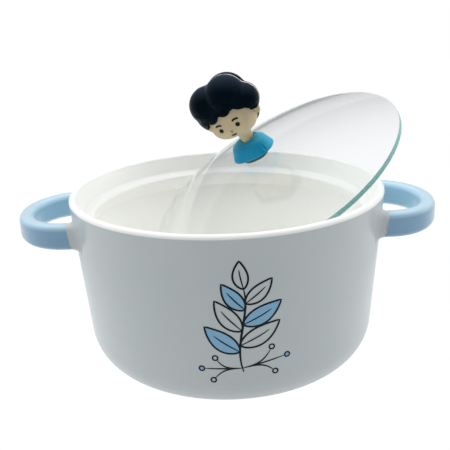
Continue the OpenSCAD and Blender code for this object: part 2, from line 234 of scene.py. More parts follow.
top_lit_coat = mixed(glaze_skin, facing_up(glaze_skin, skin_in.outputs["Thin share"], 0.1, 0.8), coat,
                  skin_in.outputs["Thinned"])
specked = mixed(glaze_skin, maths(glaze_skin, "MULTIPLY", pinholes, 0.25), top_lit_coat, (0.35, 0.3, 0.24, 1))
end_skin(glaze_skin, skin_out, specked, skin_in.outputs["Gloss"], 0.08, clouds, skin_in.outputs["Ripple"],
         0.05 * mm, ripples)


def finish_of(name, effect=None, values=(), **sockets):
    """A material: a Principled shader with its plain sockets, and the effect that varies it."""
    material = bpy.data.materials.new(name)
    material.use_nodes = True
    tree = material.node_tree
    shader = tree.nodes["Principled BSDF"]
    for key, value in sockets.items():
        shader.inputs[key.replace("_", " ")].default_value = value
    if effect:
        held = node(tree, "ShaderNodeGroup", *values, node_tree=effect)
        for output in held.outputs:
            tree.links.new(output, shader.inputs[output.name.replace("Colour", "Base Color")])
    return material


def glaze_of(name, glaze, pooled, cloud, gloss, ripple, thinned=(1, 1, 1), thin_share=0.0, **sockets):
    """A fired glaze: its colour, the one where it pools, and the tone painted on its upward faces as light or
    shade.
    """
    return finish_of(name, glaze_skin, [
        ("Glaze", (*glaze, 1)), ("Pooled", (*pooled, 1)), ("Cloud size", cloud), ("Gloss", gloss),
        ("Ripple", ripple), ("Thinned", (*thinned, 1)), ("Thin share", thin_share)], **sockets)


# the outside glaze is a darker, cooler copy of the inside one: painted shade
white_glaze = glaze_of("white_glaze", (0.53, 0.565, 0.57), (0.505, 0.545, 0.555), 22, 0.30, 0.12,
                       Coat_Weight=0.5, Coat_Roughness=0.1)
warm_glaze = glaze_of("warm_glaze", (0.965, 0.96, 0.935), (0.955, 0.945, 0.92), 22, 0.35, 0.12,
                      Coat_Weight=0.2, Coat_Roughness=0.2)
# the rim's top is a little darker than the inside: painted shade that holds down its light
rim_glaze = glaze_of("rim_glaze", (0.86, 0.86, 0.85), (0.84, 0.84, 0.83), 22, 0.3, 0.12,
                     Coat_Weight=0.3, Coat_Roughness=0.12)
# the gallery glaze, whose upward faces on the ledge are painted darker to hold down the light on them
gallery_glaze = glaze_of("gallery_glaze", (0.95, 0.945, 0.92), (0.94, 0.93, 0.91), 22, 0.35, 0.12,
                         (0.77, 0.77, 0.755), 1.0, Coat_Weight=0.2, Coat_Roughness=0.2)
bare_clay = glaze_of("bare_clay", (0.66, 0.60, 0.51), (0.58, 0.52, 0.44), 400, 0.75, 0.8)

bowl_finishes = [white_glaze, bare_clay, warm_glaze, rim_glaze, gallery_glaze]
bowl_shape = spun(bowl_profile, bowl_steps)
for face in bowl_shape.faces:
    middle = face.calc_center_median()
    outward = face.normal.xy.dot(middle.xy)
    finish = white_glaze
    if middle.z < wiped_h and middle.xy.length > foot_hollow_r - foot_edge_r:
        finish = bare_clay
    elif middle.z > rim_z:
        finish = rim_glaze
    elif middle.z > nose_z - nose_r and outward <= 0:
        finish = gallery_glaze
    elif middle.z > wall_t / 2 and (face.normal.z > 0.5 or outward < 0):
        finish = warm_glaze
    face.material_index = bowl_finishes.index(finish)
bowl = made("bowl_body", bowl_shape, *bowl_finishes)
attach(bowl, "bowl")
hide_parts("bowl")


# Handles: two flat straps of the bowl's own stoneware, pressed, bent to a loop and luted to the wall
# while still soft, with the slip at each root smoothed to a fillet. They are dipped in blue glaze up
# to a band of white. The blue is painted paler on the faces that look up and on the inner side of
# the loop, as painted light.
strap_w = 13.6 * mm
strap_t = 8 * mm
strap_edge_r = 3.6 * mm
handle_z = bowl_h - 15.9 * mm
handle_span = 59.4 * mm
far_bend_r = 34 * mm
corner_bend_r = 22 * mm
root_fillet_r = 3.2 * mm
root_sink = 1.2 * mm
root_band = 3.5 * mm
root_slant = 0.9 * mm
glaze_edge = 0.25 * mm
# how squarely a face looks at the middle of the bend where it counts as the loop's inner side
inner_facing = 0.35

strap_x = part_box("handle_right")[1].x - strap_t / 2
bend_x = strap_x - far_bend_r
bend_a = math.asin((handle_span / 2 - corner_bend_r) / (far_bend_r - corner_bend_r))
leg_x = bend_x + (far_bend_r - corner_bend_r) * math.cos(bend_a)
root_x = math.sqrt(wall_r(handle_z) ** 2 - (handle_span / 2) ** 2)


def strap_outline(steps=10):
    """The strap's section, across and up, with its rounded edges."""
    flat_w, flat_h = strap_t / 2 - strap_edge_r, strap_w / 2 - strap_edge_r
    line = []
    for quarter, (side, rise) in enumerate([(1, 1), (-1, 1), (-1, -1), (1, -1)]):
        line += arc((side * flat_w, rise * flat_h), strap_edge_r, quarter * right, (quarter + 1) * right,
                    steps)
    return line


def half_route():
    """The middle line of half a strap, from root to far end: x, y, direction and distance from the wall."""
    leg = leg_x - root_x
    fillet = [-root_sink] + [root_fillet_r * d for d in (0, 0.06, 0.14, 0.24, 0.37, 0.52, 0.7, 1.0)]
    band = [root_band - glaze_edge, root_band, root_band + glaze_edge, root_band + 1.5 * mm]
    straight = [(root_x + d, handle_span / 2, right, d) for d in fillet + band if d < leg]
    corner = [(leg_x + corner_bend_r * math.cos(a), handle_span / 2 - corner_bend_r * (1 - math.sin(a)), a,
               math.inf) for a in [right - (right - bend_a) * i / 18 for i in range(19)]]
    far = [(bend_x + far_bend_r * math.cos(a), far_bend_r * math.sin(a), a, math.inf)
           for a in [bend_a * (1 - i / 14) for i in range(1, 15)]]
    return straight + corner + far


def lofted(rings, shape=None):
    """A closed skin through rings that have the same number of points each."""
    shape = shape or bmesh.new()
    last = []
    for spots in rings:
        ring = [shape.verts.new(spot) for spot in spots]
        hoop = [shape.edges.new((ring[i - 1], ring[i])) for i in range(len(ring))]
        if last:
            bmesh.ops.bridge_loops(shape, edges=last + hoop)
        last = hoop
    bmesh.ops.holes_fill(shape, edges=shape.edges)
    bmesh.ops.recalc_face_normals(shape, faces=shape.faces)
    return shape


def handle(name, side, *materials):
    """The strap carried along its route, swollen to a fillet and fitted to the wall at each root."""
    route = half_route()
    route += [(x, -y, -a, d) for x, y, a, d in route[-2::-1]]
    rings = []
    for x, y, a, d in route:
        reach = max(0.0, root_fillet_r - max(d, 0))
        swell = root_fillet_r - math.sqrt(root_fillet_r ** 2 - reach ** 2)
        ring = []
        for out, up in strap_outline():
            grown = 1 + swell / math.hypot(out, up)
            spot = Vector((x + out * grown * math.cos(a), y + out * grown * math.sin(a),
                           handle_z + up * grown))
            if d < math.inf:
                wall_x = math.sqrt(wall_r(spot.z) ** 2 - spot.y ** 2)
                spot.x += (wall_x - root_x) * max(0.0, 1 - max(d, 0) / (2 * root_fillet_r)) ** 2
                if abs(d - root_band) < 1.1 * glaze_edge:
                    spot.x += root_slant * up / (strap_w / 2)
            ring.append((side * spot.x, spot.y, spot.z))
        rings.append(ring)
    return made(name, lofted(rings), *materials)


# the blue's upward faces are painted paler, as painted light
dip = dict(cloud=60, gloss=0.25, ripple=0.25, thinned=(0.54, 0.72, 0.82), thin_share=0.75, Coat_Weight=0.7,
           Coat_Roughness=0.12, Sheen_Weight=0.25, Sheen_Roughness=0.3)
blue_glaze = glaze_of("blue_glaze", (0.215, 0.385, 0.555), (0.19, 0.355, 0.53), **dip)
lit_inner_blue = glaze_of("lit_inner_blue", (0.38, 0.65, 0.84), (0.34, 0.62, 0.81), **dip)
handle_finishes = [blue_glaze, white_glaze, lit_inner_blue]
for name, side in (("handle_left", -1), ("handle_right", 1)):
    loop = handle(name.replace("handle", "handle_loop"), side, *handle_finishes)
    for face in loop.data.polygons:
        spot = face.center
        inward = Vector((side * bend_x, 0, spot.z)) - spot
        band_x = root_x + root_band + root_slant * (spot.z - handle_z) / (strap_w / 2)
        finish = blue_glaze
        if abs(spot.y) > handle_span / 4 and abs(spot.x) < band_x:
            finish = white_glaze
        # faces on the inner side of the loop take a paler blue: painted light
        elif face.normal.dot(inward) > inner_facing * inward.length:
            finish = lit_inner_blue
        face.material_index = handle_finishes.index(finish)
    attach(loop, "bowl")
    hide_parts(name)


# Print: one sprig of leaves and berries under the glaze on the front of the wall. Its lines are dark
# ink about 1 mm wide, and some of the leaves and berries are filled in pale blue.
line_w = 0.95 * mm
ink_lift = 0.08 * mm
fill_lift = 0.05 * mm
stem_points = [(5, 25), (0, 40), (9, 55), (6, 69)]
# each leaf: its place up the stem, its heading off the stem in degrees, length, half width, filled
leaf_plan = [(0.24, 58, 21, 4.6, 1), (0.32, -60, 22, 4.6, 0), (0.5, 54, 20, 4.3, 0), (0.57, -56, 21, 4.4, 1),
             (0.76, 50, 17, 3.8, 1), (0.82, -52, 17, 3.7, 0), (1.0, 3, 14, 3.5, 0)]
# each berry twig: its place up the stem, its heading and its length
twig_plan = [(0.05, -92, 21), (0.05, 76, 18)]
berry_r = 1.25 * mm


def on_wall(across, height, lift):
    """A point on the outside of the wall, from its distance round the wall and its height."""
    reach, turn = wall_r(height) + lift, across / wall_r(height)
    return Vector((reach * math.sin(turn), -reach * math.cos(turn), height))


def stroke(shape, spots, widths, lift):
    """A painted stroke on the wall, as wide as given at each of its spots."""
    strip = bmesh.ops.create_grid(shape, x_segments=len(spots) - 1, y_segments=4, size=1)["verts"]
    for v in strip:
        i = round((v.co.x + 1) / 2 * (len(spots) - 1))
        along = (spots[min(i + 1, len(spots) - 1)] - spots[max(i - 1, 0)]).normalized()
        spot = spots[i] + Vector((-along.y, along.x)) * v.co.y * widths[i] / 2
        v.co = on_wall(spot.x, spot.y, lift)
    for face in {face for v in strip for face in v.link_faces}:
        face.normal_update()
        if face.normal.xy.dot(face.calc_center_median().xy) < 0:
            face.normal_flip()


def tapered(count, width, thin=0.35):
    """Widths of a drawn line that is thinner at both its ends."""
    return [width * (thin + (1 - thin) * math.sin(math.pi * i / (count - 1)) ** 0.5) for i in range(count)]


def leaf(lines, fills, foot, heading, length, half_w, filled):
    """A leaf with its outline and midrib, curved a little upwards."""
    ahead, side = spoke((0, 0), 1, heading), spoke((0, 0), 1, heading + right)
    bend = 0.12 * length * math.copysign(1, math.cos(heading))
    spine = interpolate_bezier(foot, foot + ahead * length * 0.35, foot + ahead * length * 0.7,
                               foot + ahead * length + side * bend, 21)
    spread = [half_w * math.sin(math.pi * (i / 20) ** 0.8) ** 0.85 if 0 < i < 20 else 0 for i in range(21)]
    edge = ([p + side * w for p, w in zip(spine, spread)]
            + [p - side * w for p, w in zip(spine, spread)][-2::-1])
    stroke(lines, edge, [line_w] * len(edge), ink_lift)
    stroke(lines, spine[:15], tapered(15, 0.75 * line_w), ink_lift)
    if filled:
        stroke(fills, spine, [2 * w for w in spread], fill_lift)


def off_stem(share, off):
    """A place that far up the stem, and the heading that many degrees off it."""
    i = round(share * 40)
    run = stem[min(i + 1, 40)] - stem[i - 1]
    return stem[i], math.atan2(run.y, run.x) + math.radians(off)


ink_shape, tint_shape = bmesh.new(), bmesh.new()
stem = interpolate_bezier(*[Vector(p) * mm for p in stem_points], 41)
stroke(ink_shape, stem, tapered(41, 1.2 * line_w), ink_lift)
for share, off, length, half_w, filled in leaf_plan:
    leaf(ink_shape, tint_shape, *off_stem(share, off), length * mm, half_w * mm, filled)
for share, off, length in twig_plan:
    foot, heading = off_stem(share, off)
    for turn, reach, filled in ((-22, 0.72, 0), (0, 1, 1), (22, 0.78, 0)):
        end = spoke(foot, length * mm * reach, heading + math.radians(turn))
        twig = interpolate_bezier(foot, spoke(foot, length * mm * 0.3, heading),
                                  spoke(foot, length * mm * 0.5, heading), end, 13)
        stroke(ink_shape, twig, tapered(13, 0.8 * line_w), ink_lift)
        onward = (end - twig[-2]).normalized() * berry_r
        stroke(ink_shape, arc(end + onward, berry_r, 0, math.tau, 20), [0.8 * line_w] * 21, ink_lift)
        if filled:
            disc = [end + onward * (0.02 + 1.96 * j / 12) for j in range(13)]
            widths = [2 * berry_r * math.sqrt(max(0.0, 1 - (j / 6 - 1) ** 2)) for j in range(13)]
            stroke(tint_shape, disc, widths, fill_lift)
ink = glaze_of("print_ink", (0.002, 0.006, 0.010), (0.006, 0.012, 0.018), 900, 0.4, 0.1,
               Specular_IOR_Level=0.15)
print_blue = glaze_of("print_blue", (0.22, 0.45, 0.66), (0.18, 0.40, 0.61), 500, 0.28, 0.1, Coat_Weight=0.3)
for name, shape, colour, slot in (("print_lines", ink_shape, ink, "dark_paint"),
                                  ("print_fills", tint_shape, print_blue, "blue_glaze")):
    bmesh.ops.remove_doubles(shape, verts=shape.verts, dist=1e-6)
    painted = made(name, shape, colour)
    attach(painted, "bowl")


# Lid: one sheet of clear glass, sagged to a shallow dome, its edge ground and rubbed smooth. It
# stands leaning in the bowl's mouth, and its place there is read from its solid.
lid_lean = math.radians(31)
lid_heading = math.radians(200.6)
lid_rise = 13.5 * mm
glass_t = 2.6 * mm
glass_bevel = 0.4 * mm
ground_w = 0.05 * mm
glass_steps = 256

lid_turn = Matrix.Rotation(lid_heading, 4, "Z") @ Matrix.Rotation(lid_lean, 4, "Y")
flat = np.array([v.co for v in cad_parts["lid_glass"].data.vertices]) @ np.array(lid_turn.to_3x3())
lid_low, lid_high = flat.min(0), flat.max(0)
lid_middle = (lid_low + lid_high) / 2
on_lid = lid_turn @ Matrix.Translation((lid_middle[0], lid_middle[1], lid_high[2] - lid_rise))
lid_r = (lid_high[0] - lid_low[0]) / 2
dome_r = (lid_r ** 2 + lid_rise ** 2) / (2 * lid_rise)


def dome_line(radius, steps=36):
    """Half the section of a dome's surface, from its middle out to the lid's edge."""
    turns = [math.asin(lid_r / radius) * i / steps for i in range(steps + 1)]
    return [Vector((radius * math.sin(a), lid_rise - dome_r + radius * math.cos(a))) for a in turns]


dome_top, dome_under = dome_line(dome_r), dome_line(dome_r - glass_t)
edge_line = rounded([dome_top[-2], dome_top[-1], dome_under[-1], dome_under[-2]], glass_bevel)
glass_shape = spun(dome_top[:-1] + edge_line[1:-1] + dome_under[-2::-1], glass_steps)
for face in glass_shape.faces:
    if face.calc_center_median().xy.length > lid_r - ground_w:
        face.material_index = 1
bmesh.ops.transform(glass_shape, matrix=on_lid, verts=glass_shape.verts)

# the film on handled glass: a faint, uneven smear that only the gloss shows, over a slightly wavy sheet
film, film_in, film_out = group(
    "glass_film", [("Smear size", "NodeSocketFloat", 30.0), ("Smear", "NodeSocketFloat", 0.03)],
    skin_sockets[1:])
smears = pattern(film, "ShaderNodeTexNoise", film_in.outputs["Smear size"], 4.0)
waves = pattern(film, "ShaderNodeTexNoise", 14.0)
wavy = node(film, "ShaderNodeBump", ("Strength", 0.15), ("Distance", 0.2 * mm), ("Height", waves))
film.links.new(maths(film, "MULTIPLY", smears, film_in.outputs["Smear"]), film_out.inputs["Roughness"])
film.links.new(wavy.outputs[0], film_out.inputs["Normal"])


def glass_of(name, smear_size, smear, **sockets):
    """A glass with its film, which casts only a faint shade on what lies under it."""
    material = finish_of(name, film, [("Smear size", smear_size), ("Smear", smear)], **sockets)
    tree = material.node_tree
    seen = node(tree, "ShaderNodeLightPath")
    unseen = maths(tree, "MAXIMUM", seen.outputs["Is Shadow Ray"], seen.outputs["Is Diffuse Ray"])
    through = node(tree, "ShaderNodeBsdfTransparent", ("Color", (0.97, 0.985, 0.98, 1)))
    shade = node(tree, "ShaderNodeMixShader", (0, unseen), (1, tree.nodes["Principled BSDF"].outputs[0]),
                 (2, through.outputs[0]))
    tree.links.new(shade.outputs[0], tree.nodes["Material Output"].inputs["Surface"])
    return material


clear_glass = glass_of("clear_glass", 30.0, 0.03, Base_Color=(0.97, 0.975, 0.975, 1), IOR=1.5,
                       Transmission_Weight=1.0)
ground_edge = glass_of("ground_edge", 800.0, 0.7, Base_Color=(0.26, 0.60, 0.56, 1), IOR=1.5,
                       Transmission_Weight=0.25)
lid = made("glass_dome", glass_shape, clear_glass, ground_edge)
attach(lid, "lid")
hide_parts("lid_glass")


# Knob, base and pad: a dark disc of moulded plastic, glued to the middle of the dome with a pad of
# clear adhesive that keeps its solid.
knob_turn = math.radians(142)
knob_offset = 1.7 * mm
pad_t = 0.4 * mm
base_hw = 7.4 * mm
base_hd = 6.4 * mm
base_t = 2.8 * mm
base_edge_r = 0.8 * mm

on_knob = (on_lid @ Matrix.Translation((0, 0, lid_rise)) @ Matrix.Rotation(knob_turn, 4, "Z")
           @ Matrix.Translation((-knob_offset, 0, 0)))


def oval(half_w, half_d, z, shift=0.0, power=2.35, steps=96):
    """A level ring of the knob: an oval that is a little squared."""
    ring = []
    for i in range(steps):
        c, s = math.cos(math.tau * i / steps), math.sin(math.tau * i / steps)
        ring.append(Vector((shift + math.copysign(abs(c) ** (2 / power), c) * half_w,
                            math.copysign(abs(s) ** (2 / power), s) * half_d, z)))
    return ring


# moulded plastic: a fine orange-peel skin, faintly mottled in colour and gloss, and a lighter colour
# painted on what faces up, as painted light
moulded, moulded_in, moulded_out = group(
    "moulded_skin",
    [("Colour", "NodeSocketColor", (1, 1, 1, 1)), ("Mottle", "NodeSocketColor", (1, 1, 1, 1)),
     ("Mottle size", "NodeSocketFloat", 200.0), ("Gloss", "NodeSocketFloat", 0.4),
     ("Peel", "NodeSocketFloat", 0.2), ("Faded", "NodeSocketColor", (1, 1, 1, 1)),
     ("Fade share", "NodeSocketFloat", 0.0)], skin_sockets)
mottles = pattern(moulded, "ShaderNodeTexNoise", moulded_in.outputs["Mottle size"], 3.0)
peel = pattern(moulded, "ShaderNodeTexNoise", 1800.0, 1.0)
mottled = mixed(moulded, ramp(moulded, mottles, 0.35, 0.7), moulded_in.outputs["Colour"],
                moulded_in.outputs["Mottle"])
top_lit_mottle = mixed(moulded, facing_up(moulded, moulded_in.outputs["Fade share"], 0.25, 0.95), mottled,
                  moulded_in.outputs["Faded"])
end_skin(moulded, moulded_out, top_lit_mottle, moulded_in.outputs["Gloss"], 0.12, mottles,
         moulded_in.outputs["Peel"], 0.03 * mm, peel)


def plastic_of(name, colour, mottle, gloss, peel=0.2, lit_top=None, **sockets):
    """A moulded plastic; where a lit top colour is given, its upper faces are painted with it as light."""
    return finish_of(name, moulded, [("Colour", (*colour, 1)), ("Mottle", (*mottle, 1)), ("Gloss", gloss),
                                     ("Peel", peel), ("Faded", (*(lit_top or colour), 1)),
                                     ("Fade share", 1.0 if lit_top else 0.0)], **sockets)


def fixed(name, shape, node_name, slot, *materials):
    """Puts a piece of the knob in its place on the lid, where it rides instead of its solid."""
    bmesh.ops.transform(shape, matrix=on_knob, verts=shape.verts)
    piece = made(name, shape, *materials)
    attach(piece, "lid")
    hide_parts(node_name)


base_z = pad_t
shirt_z = base_z + base_t
base_line = (arc((base_hd - base_edge_r, base_z + base_edge_r), base_edge_r, -right, 0, 6)
             + arc((base_hd - base_edge_r, shirt_z - base_edge_r), base_edge_r, 0, right, 6))
base_shape = lofted([oval(r + base_hw - base_hd, r, z) for r, z in base_line])
base_dark = plastic_of("base_dark", (0.006, 0.085, 0.11), (0.010, 0.105, 0.13), 0.42)
fixed("base_disc", base_shape, "knob_base", "base_plastic", base_dark)
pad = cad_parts["knob_pad"]
pad.data.materials.clear()
pad.data.materials.append(glass_of("set_adhesive", 500.0, 0.3, Base_Color=(0.9, 0.93, 0.93, 1), IOR=1.45,
                                   Transmission_Weight=0.9))


# Knob, shirt: a bust in bright blue plastic, moulded in one with its rolled hem, its sloping shoulders,
# painted lighter on top as painted light, and the two short creases of its sleeves. The neck plugs into
# its collar, whose socket is painted dark as shade.
shirt_hw = 12.1 * mm
shirt_hd = 9.4 * mm
shirt_side_h = 5.8 * mm
shirt_lean = math.radians(22)
shoulder_r = 4 * mm
shoulder_lean = math.radians(65)
hem_r = 0.8 * mm
neck_r = 3.8 * mm
neck_offset = 1.2 * mm
collar_gap = 0.5 * mm
collar_round_r = 0.35 * mm
collar_rise = 0.9 * mm
socket_depth = 2.6 * mm
shirt_steps = 192
crease_turns = (math.radians(221), math.radians(319))
crease_low = 4.2 * mm
crease_high = 7.8 * mm
crease_depth = 1.0 * mm
crease_half_turn = 0.045
collar_up = 0.85 * mm
collar_swell = 0.35 * mm
socket_margin = 0.02 * mm

hem_middle = Vector((shirt_hd - hem_r, shirt_z + hem_r))
lean_out = spoke((0, 0), 1, shirt_lean)
hem_top = hem_middle + hem_r * lean_out
side_top = hem_top + (shirt_side_h - hem_r) * Vector((-math.tan(shirt_lean), 1))
shoulder_middle = side_top - shoulder_r * lean_out
shoulder_top = spoke(shoulder_middle, shoulder_r, shoulder_lean)
shirt_flat = shirt_hw - shirt_hd
shirt_line = (arc(hem_middle, hem_r, -right, shirt_lean, 8)
              + [hem_top + (side_top - hem_top) * i / 6 for i in range(1, 6)]
              + arc(shoulder_middle, shoulder_r, shirt_lean, shoulder_lean, 10))
shirt_rings = []
for r, z in shirt_line:
    ring = oval(r + shirt_flat, r, z, steps=shirt_steps)
    long = max(0.0, 1 - abs(2 * (z - crease_low) / (crease_high - crease_low) - 1)) ** 0.5
    for i, spot in enumerate(ring):
        off = min(abs(math.tau * i / shirt_steps - turn) for turn in crease_turns)
        pressed = crease_depth * max(0.0, 1 - off / crease_half_turn) * long
        spot -= Vector((*spot.xy, 0)).normalized() * pressed
    shirt_rings.append(ring)
collar_r = neck_r + collar_gap
collar_z = shoulder_top.y + collar_up


def collar_ring(radius, z):
    """A ring of the collar: round the neck, and higher at the shoulders than at the throat."""
    return [spot + Vector((0, 0, collar_rise * ((spot.x - neck_offset) / radius) ** 2))
            for spot in oval(radius, radius, z, neck_offset, 2, shirt_steps)]


collar = collar_ring(collar_r + collar_round_r, collar_z)
shoulders = oval(shoulder_top.x + shirt_flat, shoulder_top.x, shoulder_top.y, steps=shirt_steps)
for t in [i / 7 for i in range(1, 7)]:
    lift = Vector((0, 0, collar_swell * math.sin(math.pi * t)))
    shirt_rings.append([a.lerp(b, t) + lift for a, b in zip(shoulders, collar)])
for r, z in arc((collar_r + collar_round_r, collar_z - collar_round_r), collar_round_r, right, 2 * right, 4):
    shirt_rings.append(collar_ring(r, z))
for depth in (2 * collar_round_r, socket_depth):
    shirt_rings.append(collar_ring(collar_r, collar_z - depth))
shirt_shape = lofted(shirt_rings)
# the shirt's upper faces turn to a paler blue: painted light
shirt_blue = plastic_of("shirt_blue", (0.001, 0.25, 0.46), (0.002, 0.275, 0.495), 0.36,
                        lit_top=(0.055, 0.43, 0.60), Sheen_Weight=0.5, Sheen_Roughness=0.25,
                        Sheen_Tint=(0.3, 0.9, 1, 1), Specular_IOR_Level=0.25)
# the inside of the collar's socket is painted dark: painted shade in the gap round the neck
socket_shade = plastic_of("socket_shade", (0.012, 0.05, 0.06), (0.02, 0.065, 0.075), 0.6)
for face in shirt_shape.faces:
    middle = face.calc_center_median() - Vector((neck_offset, 0, 0))
    if middle.xy.length < collar_r + socket_margin and shirt_z + base_t < middle.z < collar_z:
        face.material_index = 1
fixed("shirt_bust", shirt_shape, "knob_shirt", "shirt_plastic", shirt_blue, socket_shade)


# Knob, head: face, neck and both ears cast in one in matt skin-coloured plastic. Eyes, brows and mouth
# are low raised marks of dark paint, and the nose is a small raised button.
face_hw = 13 * mm
face_hd = 10.3 * mm
face_h = 23.7 * mm
face_power = 2.5
jaw_in = 7.2 * mm
jaw_h = 7.6 * mm
crown_in = 9 * mm
crown_h = 9.8 * mm
ear_r = 2.3 * mm
ear_out = 0.42 * ear_r
ear_back = 0.4 * mm
ear_turn = 0.2
ear_size = (0.95 * ear_r, 0.6 * ear_r, 1.15 * ear_r)
neck_h = 4.4 * mm
shirt_top = 13.01 * mm
chin_z = shirt_top + neck_h
ear_z = chin_z + 0.345 * face_h
# the neck above its socket: what is added to its radius, and the height above the shirt, in mm
neck_plan = [(0.1, -0.4), (-0.1, 0.9), (-0.15, 2.2), (0.1, 3.4), (0.9, 4.4), (1.6, 5.2)]
skin_voxel = 0.3 * mm
eye_r = 1.25 * mm
eye_relief = 0.4 * mm
eye_spacing = 10 * mm
eye_z = chin_z + 0.36 * face_h
brow_z = chin_z + 0.5 * face_h
mouth_z = chin_z + 0.15 * face_h
button_z = chin_z + 0.255 * face_h
paint_r = 0.55 * mm
brow_w = 3.8 * mm
mouth_w = 3 * mm
bow_rise = 0.6 * mm
button_r = 0.75 * mm
button_relief = 0.5 * mm


def face_inset(z):
    """How far the face is drawn in at a height, by the rounding of jaw and crown."""
    low, high = z - chin_z, chin_z + face_h - z
    if low < jaw_h:
        return jaw_in * (1 - math.sqrt(max(0.0, 1 - (1 - low / jaw_h) ** 2)))
    if high < crown_h:
        return crown_in * (1 - math.sqrt(max(0.0, 1 - (1 - high / crown_h) ** 2)))
    return 0.0


def face_spot(x, z):
    """A point on the front of the face."""
    half_w, half_d = face_hw - face_inset(z), face_hd - face_inset(z)
    return Vector((x, -half_d * (1 - abs(x / half_w) ** face_power) ** (1 / face_power), z))


def face_out(x, z):
    """The direction straight out of the face at a point."""
    d = 0.05 * mm
    across, up = face_spot(x + d, z) - face_spot(x - d, z), face_spot(x, z + d) - face_spot(x, z - d)
    return across.cross(up).normalized()


def taken(piece):
    """What a piece and its modifiers have made, as a shape to go on with. The piece itself goes."""
    mesh = bpy.data.meshes.new_from_object(piece.evaluated_get(bpy.context.evaluated_depsgraph_get()))
    bpy.data.objects.remove(piece)
    shape = bmesh.new()
    shape.from_mesh(mesh)
    bpy.data.meshes.remove(mesh)
    return shape


def melted(name, shape, voxel, rounds):
    """A shape whose overlapping shells are run together into one skin, with its creases softened."""
    piece = made(name, shape)
    run = piece.modifiers.new("run_together", "REMESH")
    run.mode, run.voxel_size = "VOXEL", voxel
    soften = piece.modifiers.new("soften", "SMOOTH")
    soften.factor, soften.iterations = 0.5, rounds
    return taken(piece)


head_heights = ([chin_z + jaw_h * (1 - math.cos(right * i / 14)) for i in range(15)]
                + [chin_z + jaw_h + (face_h - jaw_h - crown_h) * i / 5 for i in range(1, 5)]
                + [chin_z + face_h - crown_h * (1 - math.sin(right * i / 10)) for i in range(11)])
head_shape = lofted([oval(face_hw - face_inset(z), face_hd - face_inset(z), z, power=face_power)
                     for z in head_heights])
neck_line = [(neck_r + 0.1 * mm, shirt_top - socket_depth)] + [
    (neck_r + added * mm, shirt_top + height * mm) for added, height in neck_plan]
lofted([oval(r, r, z, neck_offset, 2, 64) for r, z in neck_line], head_shape)
for side in (-1, 1):
    ear = bmesh.ops.create_uvsphere(head_shape, u_segments=32, v_segments=20, radius=1)["verts"]
    at_ear = Matrix.Translation((side * (face_hw + ear_out), ear_back, ear_z))
    bmesh.ops.transform(head_shape, verts=ear, matrix=at_ear @ Matrix.Rotation(side * ear_turn, 4, "Y")
                        @ Matrix.Diagonal((*ear_size, 1)))
skin = plastic_of("skin_matt", (0.58, 0.47, 0.29), (0.55, 0.445, 0.27), 0.55, peel=0.3, Sheen_Weight=0.1)
fixed("doll_head", melted("head_shells", head_shape, skin_voxel, 4), "knob_head", "skin_plastic", skin)


def drawn(spots, thick):
    """A raised painted line along points on the face, with round ends."""
    rings = []
    for i, (x, z) in enumerate(spots):
        before, after = spots[max(i - 1, 0)], spots[min(i + 1, len(spots) - 1)]
        out = face_out(x, z)
        along = (face_spot(*after) - face_spot(*before)).normalized()
        level, t = along.cross(out), i / (len(spots) - 1)
        r = thick * math.sqrt(max(0.02, 1 - abs(2 * t - 1) ** 6))
        rings.append([face_spot(x, z) + r * (level * math.cos(a) + 0.7 * out * math.sin(a))
                      for a in [math.tau * k / 12 for k in range(12)]])
    return lofted(rings)


def bowed(x, z, width, rise):
    """Points of a shallow bow, its ends lower than its middle where the rise is positive."""
    return [(x + width * t, z - rise * (2 * t) ** 2) for t in [i / 16 - 0.5 for i in range(17)]]


def button(x, z, radius, height):
    """A low round relief on the face."""
    shape = bmesh.new()
    bmesh.ops.create_uvsphere(shape, u_segments=32, v_segments=16, radius=1)
    stand = face_out(x, z).to_track_quat("Z", "X").to_matrix().to_4x4()
    bmesh.ops.transform(shape, verts=shape.verts, matrix=Matrix.Translation(face_spot(x, z)) @ stand
                        @ Matrix.Diagonal((radius, radius, height, 1)))
    return shape


paint = plastic_of("face_paint", (0.003, 0.004, 0.005), (0.006, 0.007, 0.009), 0.45, peel=0.1,
                   Specular_IOR_Level=0.2)
nose_tan = plastic_of("nose_tan", (0.42, 0.30, 0.17), (0.38, 0.27, 0.15), 0.5)
for name, x in (("left", eye_spacing / 2), ("right", -eye_spacing / 2)):
    brow = drawn(bowed(x, brow_z, brow_w, bow_rise), paint_r)
    fixed("eye_dot_" + name, button(x, eye_z, eye_r, eye_relief), "eye_" + name, "dark_paint", paint)
    fixed("brow_line_" + name, brow, "brow_" + name, "dark_paint", paint)
fixed("nose_button", button(0, button_z, button_r, button_relief), "nose", "skin_plastic", nose_tan)
fixed("mouth_line", drawn(bowed(0, mouth_z, mouth_w, -bow_rise), paint_r), "mouth", "dark_paint", paint)


# Knob, hair: two shells of soft curls over a cap in near-black satin plastic, moulded apart and clipped
# over the head, with a light plate between them whose edge shows as a cream seam. The fringe ends in
# round locks.
part_y = 2 * mm
part_t = 1.3 * mm
part_inset = -0.16 * mm
side_hair_z = chin_z + 0.42 * face_h
fringe_y = -0.15 * face_h
cap_hw = 14.8 * mm
cap_hd = 11.9 * mm
cap_low, cap_low_r = 18.5 * mm, 10 * mm
cap_top, cap_r = 48.5 * mm, 11.3 * mm
curl_voxel = 0.35 * mm
# curls as shares of the head's height: x, y, height above the chin, radius
front_curls = [(0.16, -0.07, 0.94, 0.47), (-0.31, -0.05, 0.9, 0.435), (-0.31, 0, 0.68, 0.43),
               (0.44, -0.02, 0.69, 0.38)]
back_curls = [(0.16, 0.08, 0.93, 0.465), (-0.33, 0.07, 0.88, 0.41), (-0.25, 0.14, 0.72, 0.45),
              (0.43, 0.08, 0.67, 0.37), (-0.05, 0.2, 0.42, 0.4), (0.25, 0.17, 0.37, 0.36),
              (-0.56, 0.16, 0.41, 0.21)]
